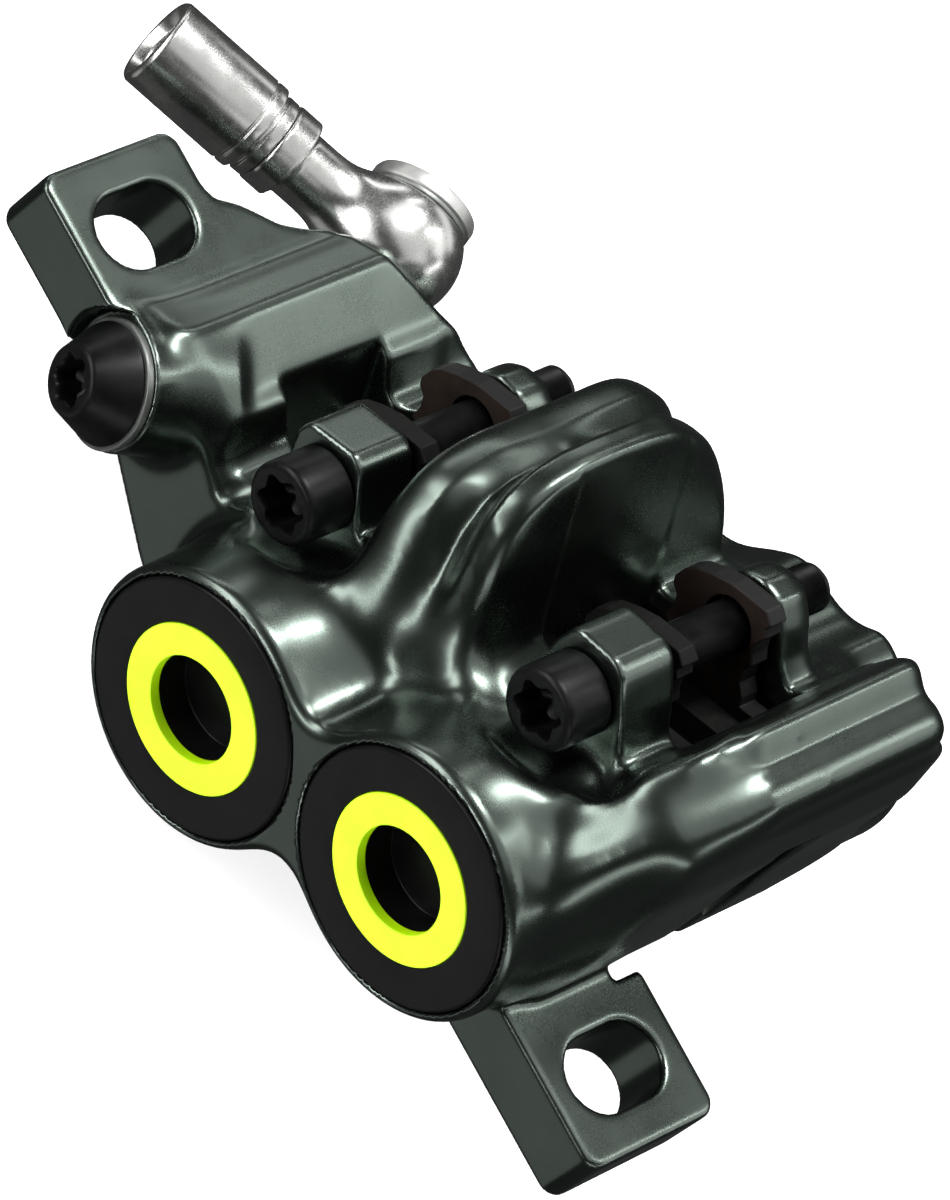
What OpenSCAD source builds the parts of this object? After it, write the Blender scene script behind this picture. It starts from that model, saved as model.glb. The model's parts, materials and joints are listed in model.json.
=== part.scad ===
// Four-piston bicycle disc brake caliper for a post mount.
// Frame: origin midway between the two mounting slots, on the mounting face
// of the lugs; X runs along the slot line, Y is the direction of the rotor's
// axle and of the pistons, Z points away from the fork. The working frame of
// the caliper (t along the rotor's edge, y along the pistons, r away from the
// rotor's centre) is tilted against the mounting face.

/* [Mounting] */
// Distance between the two mounting slots
hole_spacing = 74; // [73.5:0.1:74.5]
// Width of a mounting slot
slot_w = 6.4; // [6.2:0.1:6.8]
// Length of a mounting slot, across the slot line
slot_len = 9.4; // [8.4:0.1:9.8]
// Thickness of a lug
lug_t = 6.5; // [6:0.1:7]
// Width of a lug
lug_w = 14.2; // [13.6:0.1:14.6]

/* [Rotor] */
// Distance of the rotor's mid-plane from the slot line
rotor_y = 10.7; // [10.2:0.1:11.2]
// Radius that is kept clear for the rotor
rotor_clear_r = 91.5; // [91:0.1:92]
// Distance from the rotor's centre to the line of the pistons
rotor_drop = 81.2; // [80.8:0.1:81.6]
// Width of the slot that the rotor runs in
rotor_slot = 4.4; // [4.2:0.1:4.8]
// Tilt of the caliper against the mounting face, in degrees
tilt = 30.4; // [30:0.1:31]

/* [Pistons and pads] */
// Piston diameter
piston_d = 17; // [16.8:0.1:17.2]
// Distance between the two pistons of one side
piston_pitch = 23; // [22.6:0.1:23.4]
// Gap between the two friction faces
pad_gap = 2.8; // [2.6:0.1:3]
// Thickness of the friction block
friction_t = 2.6; // [2.4:0.1:2.7]
// Thickness of the backing plate
plate_t = 1.85; // [1.8:0.05:1.9]
// Half width of the pad chamber
chamber_y = 6.4; // [6.4:0.1:6.6]

/* [Screws] */
// Diameter of a pad axle screw's shank
axle_d = 4; // [3.8:0.1:4.2]
// Diameter of a pad axle screw's head
axle_head_d = 6.9; // [6.6:0.1:7.1]
// Radius of a bore cap
cap_r = 10.6; // [10.4:0.1:10.7]
// Distance of the inboard ears' ends from the rotor's mid-plane
ear_in = 10.3; // [10:0.1:10.8]

/* [Hose fitting] */
// Radius of the banjo's ball
ball_r = 5.8; // [5.7:0.1:5.9]
// Outer radius of the crimp sleeve
sleeve_r = 3.95; // [3.8:0.05:4]
// Radius of the sleeve's hose socket
socket_r = 2.7; // [2.6:0.05:2.8]

/* [Hidden] */
$fn = 64;
ox = 7.82;                  // working origin, midway between the pistons
oz = 5.53;
c = cos(tilt);
s = sin(tilt);
hx = hole_spacing / 2;
px = piston_pitch / 2;
pr = piston_d / 2;
bore_r = pr + 0.04;
cap_y = -24.6;              // outer face of the bore caps
ft = pad_gap / 2;           // friction face
pl = ft + friction_t;       // back of the friction block
pf = pl + plate_t;          // piston face and back of the plate
ax_t = 14;                  // pad axles
ax_r = 15.15;
head_y = -17.05;            // outer face of an axle screw's head
seat_y = -12.45;
// hose fitting: centre of the ball, axis of its bolt, direction of its tube
bc = [-29.1, 24.36, 2.58];
bn = unit([-0.44, 0.848, 0.298]);
bd = unit([-0.8806, -0.4714, 0.0412]);
flat_n = 3.43;              // the ball's flats, from its centre
wash_t = 0.4;
seat_n = flat_n + wash_t;   // the seat on the body
port_r = 2.95;              // banjo bolt
// bleed screw: centre of the head's wide end, axis into the body
bl = [-27.4, -8.5, 2.87];
bv = unit([0.3505, 0.9313, -0.1001]);

function unit(v) = v / norm(v);
// a point of the mounting frame's XZ plane as (t, r)
function W(x, z) = [(x - ox) * c + (z - oz) * s, -(x - ox) * s + (z - oz) * c];
// turn that takes +Z to the direction v
function az(v) = atan2(v[1], v[0]);
function incl(v) = acos(v[2] / norm(v));
module aim(p, v) translate(p) rotate([0, incl(v), az(v)]) children();
module local() translate([ox, rotor_y, oz]) rotate([0, -tilt, 0]) children();
module ycyl(a, b, r, r2 = -1) translate([0, a, 0]) rotate([-90, 0, 0]) cylinder(h = b - a, r1 = r, r2 = r2 < 0 ? r : r2);
module yext(a, b) translate([0, b, 0]) rotate([90, 0, 0]) linear_extrude(height = b - a) children();
module at(t, r) translate([t, 0, r]) children();
module yring(a, b, ri, ro) difference() { ycyl(a, b, ro); ycyl(a - 1, b + 1, ri); }
// rounded rectangle from circles and squares, so that its corners are true arcs
module rrect(x0, x1, y0, y1, r) {
  translate([x0 + r, y0]) square([x1 - x0 - 2 * r, y1 - y0]);
  translate([x0, y0 + r]) square([x1 - x0, y1 - y0 - 2 * r]);
  for (x = [x0 + r, x1 - r], y = [y0 + r, y1 - r]) translate([x, y]) circle(r);
}
module slot2d() {
  translate([-slot_w / 2, -(slot_len - slot_w) / 2]) square([slot_w, slot_len - slot_w]);
  for (y = [-1, 1] * (slot_len - slot_w) / 2) translate([0, y]) circle(slot_w / 2);
}
// six-lobe socket, cut along +y from y = a
module lobes(a, depth, r) {
  for (i = [0:5]) rotate([0, i * 60, 0]) translate([r * 0.78, 0, 0]) ycyl(a, a + depth, r * 0.24);
  ycyl(a, a + depth, r * 0.74);
}

// ---------------------------------------------------------------- caliper body
// side profile in (t, r): the rear shoulder, the rear ear, the bridge with its
// two ridges, the front ear and the front ridges above the flat end face
low = [W(29.4, 0), [8, -12.2], [-11.5, -12.2], [-20, -8.8], [-27.9, -0.7], [-32.9, 6.7], [-34.6, 11.5], W(-30.8, 0)];
shoulder = [W(-30.8, lug_t), W(-27.4, 8.4), [-25.1, 15.9]];
frontside = [[21.9, 13.8], [24.6, 16.6], [26.2, 17.4], [27.3, 15.6], [29.2, 14.7], [30.6, 13.4], W(28.4, 29.6), W(29.4, 24.5)];
module side2d() polygon(concat(low, shoulder,
  [[-23.5, 14.3], [-21.6, 11.8], [-19.2, 11.4], [-18.4, 13], [-17.8, 18.0], [-16.8, 18.9], [-12.3, 18.9], [-10.0, 16.6], [-9.6, 13.1],
   [-8, 12.6], [-7.3, 14.4], [-6.9, 20], [-5.4, 23], [-3.5, 23.8], [-1, 22.9], [0.5, 24.8], [2.6, 27.3], [4.4, 26], [5.3, 21], [6.1, 14],
   [7.9, 12.4], [9.4, 13.1], [10.2, 17], [12.1, 18.9], [16.4, 18.9], [18.2, 15.2], [18.8, 12.7], [20.4, 11.6]], frontside));
module lug2d() {
  // rear lug with its flare towards the hose side
  rrect(-43.5, -28, -lug_w / 2, lug_w / 2, 1.5);
  translate([-31.5, -3.9]) square([3.5, 12]);
  polygon([[-38.4, 6.5], [-37.1, 7.6], [-36, 9.4], [-35, 10.5], [-33.3, 12.2], [-32.3, 14.1], [-31.4, 16.5], [-27, 17.5], [-27, 6.5]]);
}
// one piston housing, turned about the pistons' axis
module housing() rotate([-90, 0, 0]) rotate_extrude() polygon([[0, -24.6], [10.95, -24.6], [11.3, -24.4], [11.5, -23.9], [11.6, -16], [11.9, -13], [11.9, 19.2], [11.5, 20.4], [10.7, 20.8], [0, 20.8]]);
// the front block runs on outboard and narrows towards the front housing
module front_foot() difference() {
  yext(-20.9, -14) polygon([[20, -6], [21.9, -5.2], [28.15, 5.45], [29.85, 10.3], [28.4, 11.9], [20.6, 11.9]]);
  translate([0, 0, -20]) linear_extrude(height = 50) polygon([[30.8, -13], [30.4, -15.4], [28.6, -17.8], [23.6, -21], [23.6, -23], [40, -23], [40, -13]]);
  tprism(18, 40, [[-14.6, 12.3], [-17.8, 10.8], [-21.2, 4.5], [-23, 4.5], [-23, 30], [-13.8, 30]]);
}
module body_local() {
  yext(-14.8, 14.6) side2d();
  front_foot();
  for (t = [-px, px]) at(t, 0) housing();
  yext(-21.4, 18.8) polygon([[-px, -8.6], [px, -8.6], [px, 8.4], [-px, 8.4]]);
}
// a prism along t, its outline in (y, r)
module tprism(a, b, pts) translate([a, 0, 0]) rotate([90, 0, 90]) linear_extrude(height = b - a) polygon(pts);
// what the bridges and the front ridges lose at their inboard and outboard ends
module ends_local() {
  tprism(-8.9, 6.9, [[9.4, 26], [10.4, 22.8], [13, 18.9], [15.6, 14.2], [15.6, 30], [9.4, 30]]);
  tprism(-8.9, 6.9, [[-8.4, 29], [-9.2, 27.4], [-11.9, 25.6], [-13.4, 23.8], [-14.4, 20.5], [-14.8, 17], [-16, 17], [-16, 30], [-8.4, 30]]);
  tprism(21.2, 40, [[12.3, 40], [12.3, 17], [13.2, 12.5], [14.6, 9], [16, 9], [16, 40]]);
  tprism(21.2, 40, [[-12, 40], [-12, 20], [-13.2, 16], [-14.8, 12], [-16, 12], [-16, 40]]);
}
module bores_local() {
  for (t = [-px, px]) at(t, 0) {
    // outboard bore, thread for the cap and seat of its flange
    ycyl(-20, 0, bore_r);
    ycyl(-22.4, -19.2, 9.75);
    ycyl(-26, -22.4, cap_r + 0.05);
    ycyl(-11.6, -9.4, 9.9);
    // inboard bore, blind
    ycyl(0, 17.9, bore_r);
    ycyl(9.4, 11.6, 9.9);
  }
  // pad chamber below, two windows above it
  translate([-20.4, -chamber_y, -30]) cube([40.8, 2 * chamber_y, 30 + 9.8]);
  translate([-25.1, -chamber_y, 8]) cube([5, chamber_y + 4.4, 30]);
  translate([-20.8, -chamber_y, 8]) cube([13.9, 2 * chamber_y, 30]);
  translate([4.9, -chamber_y, 8]) cube([17, 2 * chamber_y, 30]);
  // slot for the rotor
  at(0, -rotor_drop) ycyl(-rotor_slot / 2, rotor_slot / 2, rotor_clear_r, $fn = 200);
  // pad axles: thread in the inboard ear, clearance and head pocket outboard
  for (m = [-1, 1]) at(m * ax_t, ax_r) {
    ycyl(-chamber_y - 8, chamber_y + 10, axle_d / 2 + 0.05);
    ycyl(-17.6, seat_y, 5);
    ycyl(ear_in, 26, 5.4);
  }
  // the ears stand back from the side walls
  for (y = [[-16, seat_y], [ear_in, 16]]) yext(y[0], y[1]) {
    polygon([[-22.9, 13.2], [-19.6, 11], [-9.2, 11], [-7.7, 13.4], [-7.7, 30], [-22.9, 30]]);
    polygon([[6.8, 13], [8.6, 11], [19.4, 11], [20.9, 12.6], [20.9, 30], [6.8, 30]]);
  }
  // the inboard ears are lower and rounder than the outboard ones
  yext(6, ear_in + 0.6) {
    polygon([[-19.3, 12], [-18.2, 13], [-17.4, 15.8], [-16.3, 17.8], [-14.6, 18.5], [-12.4, 18.2], [-11, 16.9], [-10.5, 14.6], [-10.3, 12.9], [-9.4, 12.3], [-7.7, 13.6], [-7.7, 30], [-19.3, 30]]);
    polygon([[6.6, 13.6], [8.9, 12.2], [10.1, 12.9], [10.5, 14.9], [11, 16.9], [12.3, 18.2], [14.4, 18.5], [16.2, 17.8], [17.3, 15.8], [17.9, 13.6], [18.9, 12.2], [20.6, 12.2], [20.6, 30], [6.6, 30]]);
  }
  // drillings for the fluid
  for (y = [-18.4, 16.6]) translate([-px, y, 0]) rotate([0, 90, 0]) cylinder(h = 2 * px, r = 0.9);
}
module drill(a, b, r) aim(a, b - a) cylinder(h = norm(b - a), r = r);
module caliper_body() color("darkslategray") difference() {
  union() {
    local() body_local();
    linear_extrude(height = lug_t) lug2d();
    linear_extrude(height = lug_t) translate([22, 0]) rrect(-3, 21.5, -lug_w / 2, lug_w / 2, 1.5);
    // boss of the bleed screw
    aim(bl + bv * 0.95, bv) cylinder(h = 8, r = 5.3);
    // boss of the hose port
    aim(bc - bn * (seat_n + 11), bn) cylinder(h = 11, r = 5.6);
  }
  local() bores_local();
  local() ends_local();
  for (x = [-hx, hx]) translate([x, 0, -5]) linear_extrude(height = 30) slot2d();
  // room above the lugs for the bolts' heads
  translate([-60, -30, lug_t]) cube([29.4, 60, 40]);
  translate([30.4, -30, lug_t]) cube([29.4, 60, 60]);
  // seat of the banjo, across the rear inboard corner
  aim(bc - bn * seat_n, bn) cylinder(h = 30, r = 12.5);
  // spot face of the bleed screw, cut into the lug's corner
  aim(bl + bv * 0.95, -bv) cylinder(h = 12, r = 5.65);
  // port thread and the drilling from it to the rear inboard bore
  aim(bc - bn * (seat_n + 7.5), bn) cylinder(h = 9, r = port_r + 0.05);
  drill(bc - bn * (seat_n + 5), [ox, rotor_y, oz] + [c * -19.7 - s * 2, 13.3, s * -19.7 + c * 2], 0.9);
  // bleed thread and the drilling from it to the rear outboard bore
  aim(bl, bv) cylinder(h = 8.5, r = 2.05);
  drill(bl + bv * 8, [ox, rotor_y, oz] + [c * -19.7 - s * 2, -13.2, s * -19.7 + c * 2], 0.9);
}

// ---------------------------------------------------------------- caps, rings, seals
module bore_cap(t) color([0.05, 0.05, 0.055]) local() at(t, 0) difference() {
  union() { ycyl(cap_y, -22.4, cap_r); ycyl(-22.4, -19.4, 9.7); }
  ycyl(-26, -20.9, 4.4);
  ycyl(-26, -23.5, 7.0);
  yring(-21.1, -20.0, 8.7, 11);
}
module accent_ring(t) color([0.8, 1, 0]) local() at(t, 0) yring(cap_y - 0.1, -23.5, 4.4, 6.95);
module cap_seal(t) color([0.08, 0.08, 0.08]) local() at(t, 0) yring(-21.05, -20.05, 8.75, 9.72);
module piston_seal(t, m) color([0.08, 0.08, 0.08]) local() at(t, 0) yring(m > 0 ? 9.45 : -11.55, m > 0 ? 11.55 : -9.45, pr + 0.02, 9.86);

// ---------------------------------------------------------------- pistons and pads
// m = -1 outboard, 1 inboard; everything is drawn outboard and mirrored
module piston(t, m) color([0.16, 0.16, 0.17]) local() at(t, 0) mirror([0, m > 0 ? 1 : 0, 0]) difference() {
  union() { ycyl(-17.2, -pf, pr); }
  ycyl(-9.15, 0, 6.05);
  ycyl(-14.2, -9, 4);
}
module piston_magnet(t, m) color("silver") local() at(t, 0) mirror([0, m > 0 ? 1 : 0, 0]) ycyl(-9.15, -pf - 0.05, 6.0);
// a pad's outline about the piston's centre; k = 1 front, -1 rear
module pad2d(w, r0, r1, r) rrect(-w, w, r0, r1, r);
// the ear that hangs on the pad axle, notched at its sides, about the axle
ear = [[3.2, 9.4 - ax_r], [3.2, -4.9], [2.6, -3.8], [2.6, -2.7], [3.2, -1.8], [2.95, -0.8], [2.95, 0.1], [3.7, 1.2], [3.4, 1.9], [3.9, 2.5], [3.1, 3.45],
  [1.3, 3.5], [-0.6, 3.5], [-2.6, 3.1], [-4.3, 2.5], [-5.2, 1.8], [-5.9, 0.7], [-5.9, -0.1], [-5.3, -0.8], [-5.3, -1.8], [-5.8, -3.0], [-5.1, -3.9], [-5.1, 9.4 - ax_r]];
module plate2d(k) difference() {
  polygon(concat([[-8.3, -7.7], [-7.9, -8.7], [-6.8, -9.2], [6.8, -9.2], [7.9, -8.7], [8.3, -7.7], [8.3, 8.7], [7.7, 9.4]],
    [for (p = ear) [p[0] + k * (ax_t - px), p[1] + ax_r]], [[-7.7, 9.4], [-8.3, 8.7]]));
  translate([k * (ax_t - px), ax_r]) circle(axle_d / 2 + 0.35);
}
module backing_plate(k, m) color([0.16, 0.10, 0.07]) local() at(k * px, 0) mirror([0, m > 0 ? 1 : 0, 0]) yext(-pf, -pl) plate2d(k);
module friction_pad(k, m) color([0.12, 0.12, 0.12]) local() at(k * px, 0) mirror([0, m > 0 ? 1 : 0, 0]) difference() {
  yext(-pl, -ft) pad2d(7.9, -8.8, 8.2, 1.6);
  translate([-0.6, -pl + 1.0, -12]) cube([1.2, friction_t, 24]);
}

// ---------------------------------------------------------------- screws
module pad_axle_screw(k) color([0.06, 0.06, 0.065]) local() at(k * ax_t, ax_r) difference() {
  union() {
    ycyl(head_y + 0.5, seat_y, axle_head_d / 2);
    ycyl(head_y, head_y + 0.5, axle_head_d / 2 - 0.5, axle_head_d / 2);
    ycyl(seat_y, 13.2, axle_d / 2);
    ycyl(13.2, 14.1, axle_d / 2, axle_d / 2 - 0.6);
  }
  lobes(head_y - 0.1, 2.9, 2.3);
}
module bleed_screw() color([0.06, 0.06, 0.065]) aim(bl, bv) rotate([90, 0, 0]) difference() {
  rotate([-90, 0, 0]) rotate_extrude() polygon([[0, -3.3], [2.6, -3.3], [2.9, -3.05], [4.75, -0.15], [4.85, 0.1], [4.75, 0.3], [2.0, 0.3], [2.0, 7.2], [1.2, 8], [0, 8]]);
  lobes(-3.4, 2.6, 2.0);
}
module bleed_washer() color([0.3, 0.3, 0.3]) aim(bl + bv * 0.3, bv) rotate_extrude() translate([2.1, 0]) square([3.1, 0.65]);

// ---------------------------------------------------------------- hose fitting
module banjo_fitting() color([0.72, 0.73, 0.72]) difference() {
  union() {
    translate(bc) sphere(ball_r, $fn = 64);
    aim(bc, bd) cylinder(h = 12.5, r = 2.87);
    aim(bc + bd * 10.5, bd) cylinder(h = 2.4, r = 3.72);
  }
  // flats for the washers, bore for the bolt, oil way
  for (k = [-1, 1]) aim(bc + bn * k * flat_n, bn * k) cylinder(h = 4, r = 7);
  aim(bc - bn * 8, bn) cylinder(h = 16, r = port_r + 0.05);
  aim(bc, bd) cylinder(h = 14, r = 1.2);
}
module hose_sleeve() color([0.72, 0.73, 0.72]) aim(bc, bd) rotate_extrude()
  polygon([[1.9, 12.9], [3.62, 12.9], [3.62, 14.4], [sleeve_r - 0.1, 14.4], [sleeve_r, 14.6], [sleeve_r, 24.8], [sleeve_r - 0.25, 25.1],
    [socket_r + 0.75, 25.1], [socket_r, 24.2], [socket_r, 15.2], [1.9, 15.2]]);
module banjo_bolt() color([0.72, 0.73, 0.72]) difference() {
  aim(bc, bn) rotate_extrude() polygon([[0, -seat_n - 6.5], [port_r - 0.5, -seat_n - 6.5], [port_r, -seat_n - 6], [port_r, seat_n], [4.6, seat_n], [4.7, seat_n + 0.2],
    [4.7, seat_n + 1.0], [4.3, seat_n + 1.4], [0, seat_n + 1.4]]);
  // socket, oil way
  aim(bc + bn * (seat_n - 0.4), bn) cylinder(h = 4, r = 2.3, $fn = 6);
  aim(bc - bn * 12.5, bn) cylinder(h = 13.3, r = 1.1);
  aim(bc - bd * 4, bd) cylinder(h = 8, r = 0.8);
}
module banjo_washers() color([0.5, 0.5, 0.5]) for (k = [-1, 1])
  aim(bc + bn * k * (flat_n + wash_t / 2), bn) rotate_extrude() translate([port_r + 0.1, -wash_t / 2]) square([1.6, wash_t]);

caliper_body();
bore_cap(-px);  // bore_cap_rear
bore_cap(px);  // bore_cap_front
accent_ring(-px);  // accent_ring_rear
accent_ring(px);  // accent_ring_front
cap_seal(-px);  // cap_seal_rear
cap_seal(px);  // cap_seal_front
piston(-px, -1);  // piston_outboard_rear
piston(px, -1);  // piston_outboard_front
piston(-px, 1);  // piston_inboard_rear
piston(px, 1);  // piston_inboard_front
piston_seal(-px, -1);  // piston_seal_outboard_rear
piston_seal(px, -1);  // piston_seal_outboard_front
piston_seal(-px, 1);  // piston_seal_inboard_rear
piston_seal(px, 1);  // piston_seal_inboard_front
piston_magnet(-px, -1);  // piston_magnet_outboard_rear
piston_magnet(px, -1);  // piston_magnet_outboard_front
piston_magnet(-px, 1);  // piston_magnet_inboard_rear
piston_magnet(px, 1);  // piston_magnet_inboard_front
backing_plate(-1, -1);  // backing_plate_outboard_rear
backing_plate(1, -1);  // backing_plate_outboard_front
backing_plate(-1, 1);  // backing_plate_inboard_rear
backing_plate(1, 1);  // backing_plate_inboard_front
friction_pad(-1, -1);  // friction_pad_outboard_rear
friction_pad(1, -1);  // friction_pad_outboard_front
friction_pad(-1, 1);  // friction_pad_inboard_rear
friction_pad(1, 1);  // friction_pad_inboard_front
pad_axle_screw(-1);  // pad_axle_screw_rear
pad_axle_screw(1);  // pad_axle_screw_front
bleed_screw();
bleed_washer();
banjo_fitting();
hose_sleeve();
banjo_bolt();
banjo_washers();
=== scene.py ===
import json
import math

import bpy
import mathutils
import mathutils.kdtree
import bmesh
import numpy as np
from mathutils import Vector, Matrix

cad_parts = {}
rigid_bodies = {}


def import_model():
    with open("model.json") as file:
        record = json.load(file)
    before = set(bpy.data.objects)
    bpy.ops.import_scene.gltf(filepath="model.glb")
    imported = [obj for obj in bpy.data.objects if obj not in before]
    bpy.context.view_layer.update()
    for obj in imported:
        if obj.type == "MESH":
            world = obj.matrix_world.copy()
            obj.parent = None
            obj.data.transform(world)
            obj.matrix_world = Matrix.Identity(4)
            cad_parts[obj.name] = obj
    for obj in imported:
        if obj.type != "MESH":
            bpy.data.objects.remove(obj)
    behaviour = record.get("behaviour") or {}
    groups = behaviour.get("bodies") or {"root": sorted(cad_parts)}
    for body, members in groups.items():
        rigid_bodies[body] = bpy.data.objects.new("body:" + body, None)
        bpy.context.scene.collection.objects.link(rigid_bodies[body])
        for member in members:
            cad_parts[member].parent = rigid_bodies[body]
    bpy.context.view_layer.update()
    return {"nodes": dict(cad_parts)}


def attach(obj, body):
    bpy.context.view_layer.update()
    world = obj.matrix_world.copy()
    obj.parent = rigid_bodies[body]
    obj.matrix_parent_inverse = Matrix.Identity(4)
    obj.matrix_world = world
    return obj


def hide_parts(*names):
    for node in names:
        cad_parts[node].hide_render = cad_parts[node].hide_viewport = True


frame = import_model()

MM = 0.001
TILT = math.radians(30.4)
C, S = math.cos(TILT), math.sin(TILT)
OX, OY, OZ = 7.82, 10.7, 5.53
LOCAL = np.array([[C, 0, S], [0, 1, 0], [-S, 0, C]])   # rows: t, y, r
ORG = np.array([OX, OY, OZ])


def to_world(q):
    return np.atleast_2d(np.asarray(q, float)) @ LOCAL + ORG


def unit(v):
    v = np.asarray(v, float)
    return v / np.linalg.norm(v)


def W(x, z):
    return ((x - OX) * C + (z - OZ) * S, -(x - OX) * S + (z - OZ) * C)


BC = np.array([-29.1, 24.36, 2.58])
BN = unit([-0.44, 0.848, 0.298])
BD = unit([-0.8806, -0.4714, 0.0412])
BL = np.array([-27.4, -8.5, 2.87])
BV = unit([0.3505, 0.9313, -0.1001])
PX = 11.5
AX, AR = 14.0, 15.15


# ------------------------------------------------------------------ distance fields
def smin(a, b, k):
    h = np.maximum(k - np.abs(a - b), 0) / k
    return np.minimum(a, b) - h * h * h * (k / 6)


def smax(a, b, k):
    h = np.maximum(k - np.abs(a - b), 0) / k
    return np.maximum(a, b) + h * h * h * (k / 6)


def rbox(a, b, f):
    """Corner of two half spaces (inside is negative), rounded by f."""
    a, b = a + f, b + f
    return np.minimum(np.maximum(a, b), 0) + np.hypot(np.maximum(a, 0), np.maximum(b, 0)) - f


def ease(x, a, b):
    x = np.clip((x - a) / (b - a), 0, 1)
    return x * x * (3 - 2 * x)


def polygon_field(x, y, pts):
    d2 = np.full(x.shape, 1e12)
    inside = np.zeros(x.shape, bool)
    for i in range(len(pts)):
        (ax, ay), (bx, by) = pts[i], pts[(i + 1) % len(pts)]
        ex, ey = bx - ax, by - ay
        if ex * ex + ey * ey < 1e-12:
            continue
        wx, wy = x - ax, y - ay
        h = np.clip((wx * ex + wy * ey) / (ex * ex + ey * ey), 0, 1)
        d2 = np.minimum(d2, (wx - ex * h) ** 2 + (wy - ey * h) ** 2)
        if ay != by:
            inside ^= ((ay <= y) != (by <= y)) & (x < ax + (y - ay) / (by - ay) * ex)
    return np.where(inside, -1, 1) * np.sqrt(d2)


class Outline:
    """Distance to a 2D outline, kept on a grid and read with smooth splines. blur rounds its corners."""

    def __init__(self, pts, blur=0.5, step=0.25, margin=6.0):
        pts = np.asarray(pts, float)
        self.step, self.lo = step, pts.min(0) - margin
        n = np.ceil((pts.max(0) + margin - self.lo) / step).astype(int) + 1
        gx, gy = np.meshgrid(*(self.lo[i] + step * np.arange(n[i]) for i in (0, 1)), indexing="ij")
        g = polygon_field(gx, gy, pts)
        if blur > 0:
            w = int(3 * blur / step) + 1
            k = np.exp(-0.5 * (np.arange(-w, w + 1) * step / blur) ** 2)
            k /= k.sum()
            for ax in (0, 1):
                p = np.pad(g, [(w, w) if a == ax else (0, 0) for a in (0, 1)], mode="edge")
                g = sum(k[i] * np.take(p, np.arange(i, i + g.shape[ax]), axis=ax) for i in range(2 * w + 1))
        self.g, self.n = g.astype(np.float32), n

    def __call__(self, u, v):
        x, y = (u - self.lo[0]) / self.step, (v - self.lo[1]) / self.step
        cx, cy = np.clip(x, 1, self.n[0] - 3.001), np.clip(y, 1, self.n[1] - 3.001)
        i, j = cx.astype(int), cy.astype(int)
        fx, fy = cx - i, cy - j
        wx, wy = self._w(fx), self._w(fy)
        flat, m = self.g.ravel(), self.n[1]
        out = np.zeros(x.shape)
        base = (i - 1) * m + (j - 1)
        for a in range(4):
            row = np.zeros(x.shape)
            for b in range(4):
                row += wy[b] * flat[base + a * m + b]
            out += wx[a] * row
        return out + np.hypot(x - cx, y - cy) * self.step

    @staticmethod
    def _w(f):
        f2, f3 = f * f, f * f * f
        return ((1 - 3 * f + 3 * f2 - f3) / 6, (4 - 6 * f2 + 3 * f3) / 6, (1 + 3 * f + 3 * f2 - 3 * f3) / 6, f3 / 6)


def swell(q, a, pts, sigma=0.8):
    """Distance to a smooth rib through the points (t, y, r, radius), cut across by planes normal to a."""
    a = np.asarray(a, float)
    a = a / np.linalg.norm(a)
    K = np.asarray(pts, float)
    u = K[:, :3] @ a
    order = np.argsort(u)
    K, u = K[order], u[order]
    g = np.arange(u[0] - 4, u[-1] + 4, 0.1)
    n = int(round(3 * sigma / 0.1))
    ker = np.exp(-0.5 * (np.arange(-n, n + 1) * 0.1 / sigma) ** 2)
    ker = ker / ker.sum()
    cols = []
    for j in range(4):
        v = np.interp(g, u, K[:, j])
        v = np.convolve(np.concatenate([np.full(n, v[0]), v, np.full(n, v[-1])]), ker, "valid")
        cols.append(v)
    s = q[0] * a[0] + q[1] * a[1] + q[2] * a[2]
    w = [q[j] - np.interp(s, g, cols[j]) for j in range(3)]
    m = w[0] * a[0] + w[1] * a[1] + w[2] * a[2]
    d = np.sqrt(sum((w[j] - m * a[j]) ** 2 for j in range(3)))
    return 0.85 * (d - np.interp(s, g, cols[3]))


def along(P, c, n):
    """(axial, radial) of world points about the axis through c."""
    w = P - c
    a = w @ n
    return a, np.sqrt(np.maximum((w * w).sum(1) - a * a, 0))


# ------------------------------------------------------------------ the body's outlines
low = [W(29.4, 0), (8, -12.2), (-11.5, -12.2), (-20, -8.8), (-27.9, -0.7), (-32.9, 6.7), (-34.6, 11.5), W(-30.8, 0)]
core_o = Outline(low + [W(-30.8, 6.5), W(-27.4, 8.4), (-25.1, 15.9), (-23.7, 14.75), (-23.35, 13.3), (-22.95, 12.0), (-21.9, 11.25), (-19.2, 11.1),
                        (0, 11.2), (20.0, 11.3), (20.9, 12.0), (22.5, 13.6), W(28.4, 29.6), W(29.4, 24.5)], blur=0.34)
front_o = Outline([(11, 4), (11, 10.8), (19.7, 10.9), (20.9, 12.0), (21.9, 13.6), (23.2, 15.2), (24.6, 16.7), (26.2, 17.6), (27.1, 16.4), (27.8, 15.25), (29.2, 14.95), (30.5, 13.9), (30.75, 12.6),
                   W(28.4, 29.6), W(29.4, 24.5), W(29.4, 6), (15.5, -9), (11, -6)], blur=0.42)
front_p = Outline([(11, 4), (11, 10.0), (19.0, 10.5), (21.5, 11.8), (24.2, 13.7), (26.2, 14.7), (28.0, 14.5), (29.5, 13.7), (30.5, 12.6), (30.75, 11.4), W(28.4, 29.6), W(29.4, 24.5), W(29.4, 6), (15.5, -9), (11, -6)], blur=0.6)
ear_rear_o = Outline([(-19.6, 8), (-19.3, 11.4), (-18.5, 13.2), (-17.9, 18.1), (-17.0, 19.35), (-12.0, 19.45), (-11.0, 18.6), (-10.4, 15.6), (-9.8, 13.3), (-8.6, 12.2), (-8.4, 8)], blur=0.3, step=0.2)
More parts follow.
